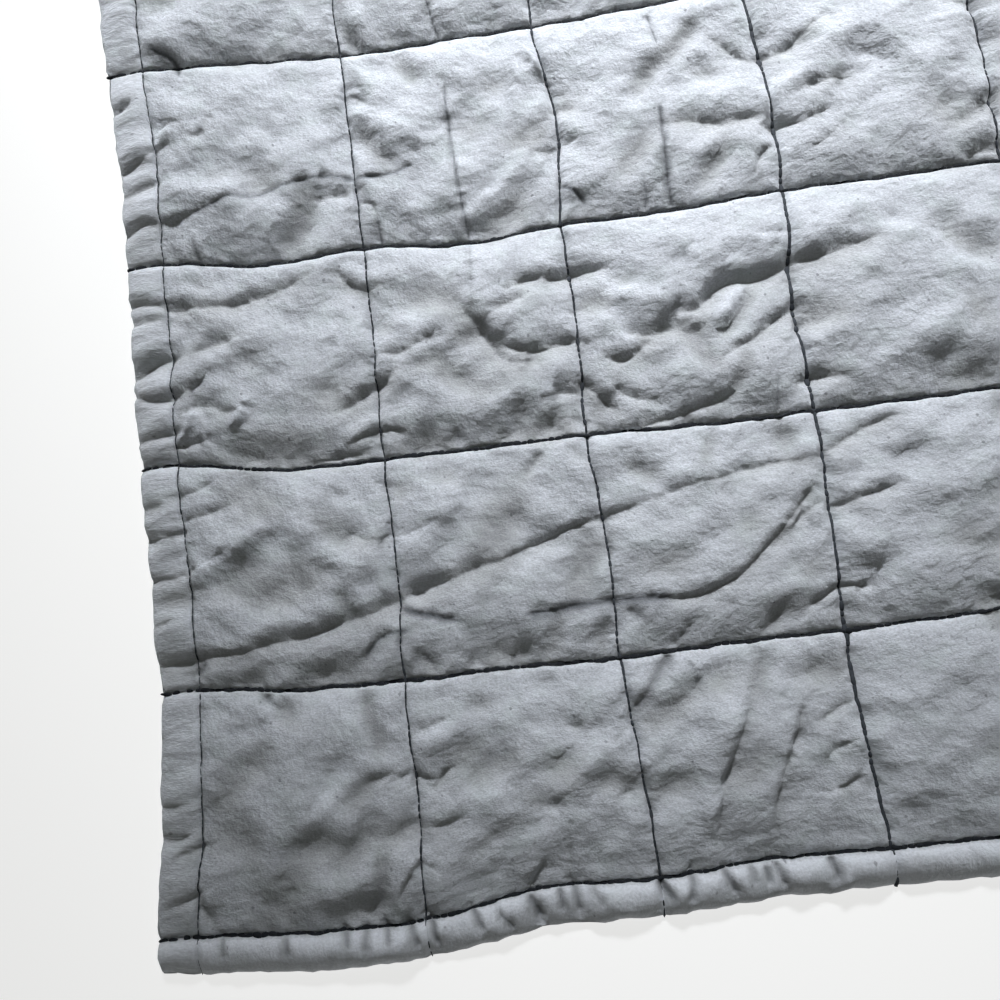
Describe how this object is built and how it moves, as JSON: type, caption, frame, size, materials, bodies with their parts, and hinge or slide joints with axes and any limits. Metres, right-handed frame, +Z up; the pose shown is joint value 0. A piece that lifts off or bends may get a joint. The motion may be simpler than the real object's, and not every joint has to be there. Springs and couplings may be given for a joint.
{
  "type": "quilted cotton quilt",
  "caption": "Plain padded quilt sewn into squares by crossing stitch lines, with a turned self edge, lying flat and softly creased.",
  "frame": {"origin": "middle of the flat underside, on the surface that the quilt lies on", "axes": "+X to the right along the near edge, +Y away from the near edge along the long side, +Z up from the underside to the face"},
  "size_m": [0.6472, 0.8482, 0.0118],
  "materials": {
    "cloth": "matt washed cotton, plain blue-grey, soft and slightly brushed",
    "thread": "matt dark slate sewing thread"
  },
  "bodies": {
    "root": {"quilt": "cloth"}
  },
  "joints": []
}
